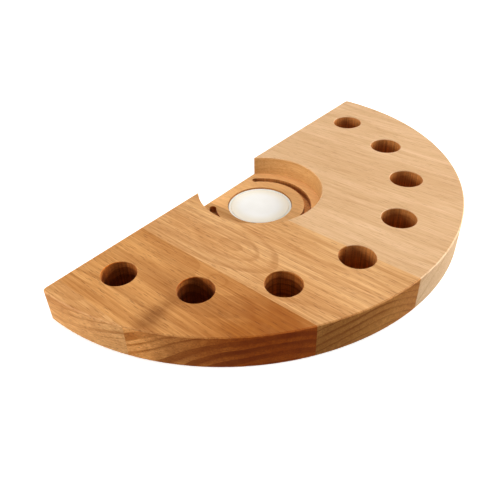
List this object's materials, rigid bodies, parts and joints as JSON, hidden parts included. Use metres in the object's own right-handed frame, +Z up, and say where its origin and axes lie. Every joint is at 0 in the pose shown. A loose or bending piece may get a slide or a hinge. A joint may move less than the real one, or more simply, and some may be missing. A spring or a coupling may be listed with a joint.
{
  "type": "half-round socket board",
  "caption": "Half-round board of glued wooden staves with an arc of round sockets, and a stepped round pocket with a C-shaped groove and a sunk disc light.",
  "frame": {"origin": "centre of the bounding box, on the underside", "axes": "+X along the straight edge, +Y towards the straight edge, +Z up"},
  "size_m": [0.38, 0.19, 0.027],
  "materials": {
    "wood_amber": "oiled, satin",
    "wood_honey": "oiled, satin",
    "wood_pale": "oiled, satin",
    "white_shell": "fine satin moulding",
    "frosted_lens": "milky, translucent, satin",
    "board_laminate": "white solder mask",
    "nickel_strip": "nickel-plated",
    "cell_steel": "brushed can",
    "switch_black": "moulded",
    "plunger_ivory": "moulded",
    "chip_black": "chip resistor, printed nothing",
    "led_phosphor": "phosphor gel in a white package"
  },
  "bodies": {
    "board": {"stave_1": "wood_amber", "stave_2": "wood_amber", "stave_3": "wood_honey", "stave_4": "wood_pale", "stave_5": "wood_pale", "stave_6": "wood_pale"},
    "light": {"light_rim": "white_shell", "light_base": "white_shell", "circuit_board": "board_laminate", "bridge_strip": "nickel_strip", "switch_body": "switch_black", "coin_cell_1": "cell_steel", "coin_cell_2": "cell_steel", "cell_spring_1": "nickel_strip", "cell_spring_2": "nickel_strip", "resistor_1": "chip_black", "resistor_2": "chip_black", "led_1": "led_phosphor", "led_2": "led_phosphor", "led_3": "led_phosphor", "led_4": "led_phosphor", "led_5": "led_phosphor", "led_6": "led_phosphor"},
    "lens": {"light_lens": "frosted_lens"},
    "plunger": {"switch_plunger": "plunger_ivory"},
    "cover": {"battery_cover": "white_shell"}
  },
  "joints": [
    {"name": "light_lift", "type": "slide", "parent": "board", "child": "light", "axis": [0, 0, 1], "range_m": [0, 0.03]},
    {"name": "lens_press", "type": "slide", "parent": "light", "child": "lens", "axis": [0, 0, -1], "range_m": [0, 0.00035], "stiffness_N_per_m": 3000, "springref_m": -0.0003},
    {"name": "plunger_press", "type": "slide", "parent": "light", "child": "plunger", "axis": [0, 0, -1], "range_m": [0, 0.00035]},
    {"name": "cover_twist", "type": "hinge", "parent": "light", "child": "cover", "pos_m": [0, 0.059, 0.003], "axis": [0, 0, 1], "range_deg": [0, 20]}
  ],
  "couplings": [
    {"joint": "plunger_press", "follows": "lens_press", "ratio": 1}
  ]
}
